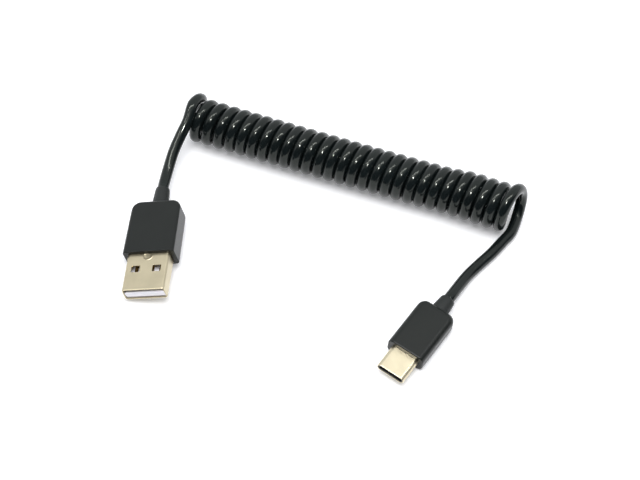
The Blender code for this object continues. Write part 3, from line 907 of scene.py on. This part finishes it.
class CABLE_OT_mouth_fronts(bpy.types.Operator):
    """Brings both plugs' inner mouldings forward to the mouths of their shells"""
    bl_idname = "cable.mouth_fronts"
    bl_label = "Mouth Fronts"

    def execute(self, context):
        wide, small = context.scene.cable_wide_plug, context.scene.cable_small_plug
        mouth = -wide.shell_out
        tongue = rounded_bar("wide_tongue_front", TONGUE_WIDTH, TONGUE_HEIGHT, 0.3 * MM,
                             mouth + TONGUE_FRONT[0], mouth + TONGUE_FRONT[1], 2)
        take(tongue)
        bpy.ops.transform.translate(value=(0.0, 0.0, -TONGUE_DROP))
        finish_piece(tongue, wide_place(), finish_named("white insulator"), "white_insulator")
        mouth = -small.shell_out
        inside = 2 * (small.sheet + LINER_GAP)
        width, height = small.shell_width - inside, small.shell_height - inside
        ring = rounded_bar("small_liner_front", width, height, height / 2 - LEAST_FLAT,
                           mouth + LINER_FRONT[0], mouth + LINER_FRONT[1], 10)
        slot = rounded_bar("slot", width - 2 * LINER_WALL, height - 2 * LINER_WALL,
                           height / 2 - LINER_WALL - 0.01 * MM, mouth - MM, mouth + MM, 8)
        carve(ring, slot)
        smooth(ring, 40)
        finish_piece(ring, small_place(), finish_named("black liner"), "black_insulator")
        return {"FINISHED"}


class CABLE_OT_inner_finishes(bpy.types.Operator):
    """Gives the insulators and contacts of the frame their finishes"""
    bl_idname = "cable.inner_finishes"
    bl_label = "Insulators and Contacts"

    def execute(self, context):
        for name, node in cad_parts.items():
            if "_contact_" in name:
                finish = "contact gold"
            elif name == "usb_a_insulator":
                finish = "white insulator"
            elif name == "usb_c_insulator":
                finish = "black liner"
            else:
                continue
            for slot in node.material_slots:
                slot.material = finish_named(finish)
        return {"FINISHED"}


class CABLE_OT_stage(bpy.types.Operator):
    """Lays the pale floor and sets the soft studio light"""
    bl_idname = "cable.stage"
    bl_label = "Floor and Light"

    def execute(self, context):
        stage = context.scene.cable_stage
        leave_edit()
        bpy.ops.object.select_all(action="DESELECT")
        bpy.ops.mesh.primitive_plane_add(size=8.0)
        floor = start_piece("studio_floor")
        floor.data.materials.append(finish_named("studio floor"))
        key = soft_light("overhead_softbox", place=(0.02, -0.16, 1.0), target=(0.02, 0.0, 0.0),
                         size=(0.6, 0.6), power=stage.key)
        key.visible_glossy = False
        lamp = soft_light("small_lamp", place=(-0.15, -0.27, 0.87), target=(0.02, 0.04, 0.0),
                          size=(0.05, 0.05), power=stage.lamp)
        lamp.visible_diffuse = False
        strip = soft_light("strip_light", place=(-0.05, 0.09, 0.95), target=(-0.05, 0.09, 0.0),
                           size=(1.4, 0.03), power=stage.strip)
        strip.visible_diffuse = False
        world_light(context.scene)
        context.scene.view_settings.view_transform = "Standard"
        return {"FINISHED"}


def soft_light(name, place, target, size, power):
    bpy.ops.object.light_add(type="AREA", location=place)
    light = bpy.context.object
    light.name = name
    light.data.shape = "RECTANGLE"
    light.data.size, light.data.size_y = size
    light.data.energy = power
    light.rotation_euler = (Vector(target) - Vector(place)).to_track_quat("-Z", "Y").to_euler()
    return light


def world_light(scene):
    """White above and behind, dark low in front, as in a light tent that is open to the camera."""
    world = bpy.data.worlds.new("light_tent")
    scene.world = world
    world.use_nodes = True
    tree = world.node_tree
    background = tree.nodes["Background"]
    place = tree.nodes.new("ShaderNodeTexCoord")
    axes = tree.nodes.new("ShaderNodeSeparateXYZ")
    sideways = tree.nodes.new("ShaderNodeMath")
    sideways.operation = "ABSOLUTE"
    behind = tree.nodes.new("ShaderNodeMapRange")
    behind.inputs["From Min"].default_value = -0.25
    behind.inputs["From Max"].default_value = 0.35
    behind.inputs["To Max"].default_value = 0.8
    wide = tree.nodes.new("ShaderNodeMath")
    wide.operation = "MULTIPLY"
    lean = tree.nodes.new("ShaderNodeVectorMath")
    lean.operation = "DOT_PRODUCT"
    lean.inputs[1].default_value = (0.0, 0.45, 0.9)
    whole = tree.nodes.new("ShaderNodeMath")
    ramp = tree.nodes.new("ShaderNodeValToRGB")
    ramp.color_ramp.elements[0].position = 0.45
    ramp.color_ramp.elements[0].color = (0.03, 0.035, 0.05, 1.0)
    ramp.color_ramp.elements[1].position = 0.78
    ramp.color_ramp.elements[1].color = (0.95, 0.97, 1.0, 1.0)
    tree.links.new(place.outputs["Generated"], axes.inputs["Vector"])
    tree.links.new(axes.outputs["X"], sideways.inputs[0])
    tree.links.new(axes.outputs["Y"], behind.inputs["Value"])
    tree.links.new(sideways.outputs["Value"], wide.inputs[0])
    tree.links.new(behind.outputs["Result"], wide.inputs[1])
    tree.links.new(place.outputs["Generated"], lean.inputs[0])
    tree.links.new(lean.outputs["Value"], whole.inputs[0])
    tree.links.new(wide.outputs["Value"], whole.inputs[1])
    tree.links.new(whole.outputs["Value"], ramp.inputs["Fac"])
    tree.links.new(ramp.outputs["Color"], background.inputs["Color"])
    background.inputs["Strength"].default_value = 1.0


class CABLE_PT_panel(bpy.types.Panel):
    """Lists the cable's pieces and their sizes"""
    bl_idname = "CABLE_PT_panel"
    bl_label = "Coiled Charging Cable"
    bl_space_type = "VIEW_3D"
    bl_region_type = "UI"
    bl_category = "Cable"

    def draw(self, context):
        for step in STEPS:
            self.layout.operator(step.bl_idname)
        for group in GROUPS:
            self.layout.label(text=group.__doc__)
            settings = getattr(context.scene, GROUPS[group])
            for name in group.__annotations__:
                self.layout.prop(settings, name)


GROUPS = {
    CordSettings: "cable_cord",
    WidePlugSettings: "cable_wide_plug",
    SmallPlugSettings: "cable_small_plug",
    FinishSettings: "cable_finish",
    StageSettings: "cable_stage",
}

STEPS = (
    CABLE_OT_camera,
    CABLE_OT_cord,
    CABLE_OT_wide_housing,
    CABLE_OT_wide_shell,
    CABLE_OT_wide_boot,
    CABLE_OT_small_housing,
    CABLE_OT_small_shell,
    CABLE_OT_small_boot,
    CABLE_OT_mouth_fronts,
    CABLE_OT_inner_finishes,
    CABLE_OT_stage,
)


def register():
    for group, name in GROUPS.items():
        bpy.utils.register_class(group)
        setattr(bpy.types.Scene, name, PointerProperty(type=group))
    for step in STEPS:
        bpy.utils.register_class(step)
    bpy.utils.register_class(CABLE_PT_panel)


def unregister():
    bpy.utils.unregister_class(CABLE_PT_panel)
    for step in reversed(STEPS):
        bpy.utils.unregister_class(step)
    for group, name in GROUPS.items():
        delattr(bpy.types.Scene, name)
        bpy.utils.unregister_class(group)


def main():
    register()
    bpy.ops.cable.camera()
    bpy.ops.cable.cord()
    bpy.ops.cable.wide_housing()
    bpy.ops.cable.wide_shell()
    bpy.ops.cable.wide_boot()
    bpy.ops.cable.small_housing()
    bpy.ops.cable.small_shell()
    bpy.ops.cable.small_boot()
    bpy.ops.cable.mouth_fronts()
    bpy.ops.cable.inner_finishes()
    bpy.ops.cable.stage()


if __name__ == "__main__":
    main()
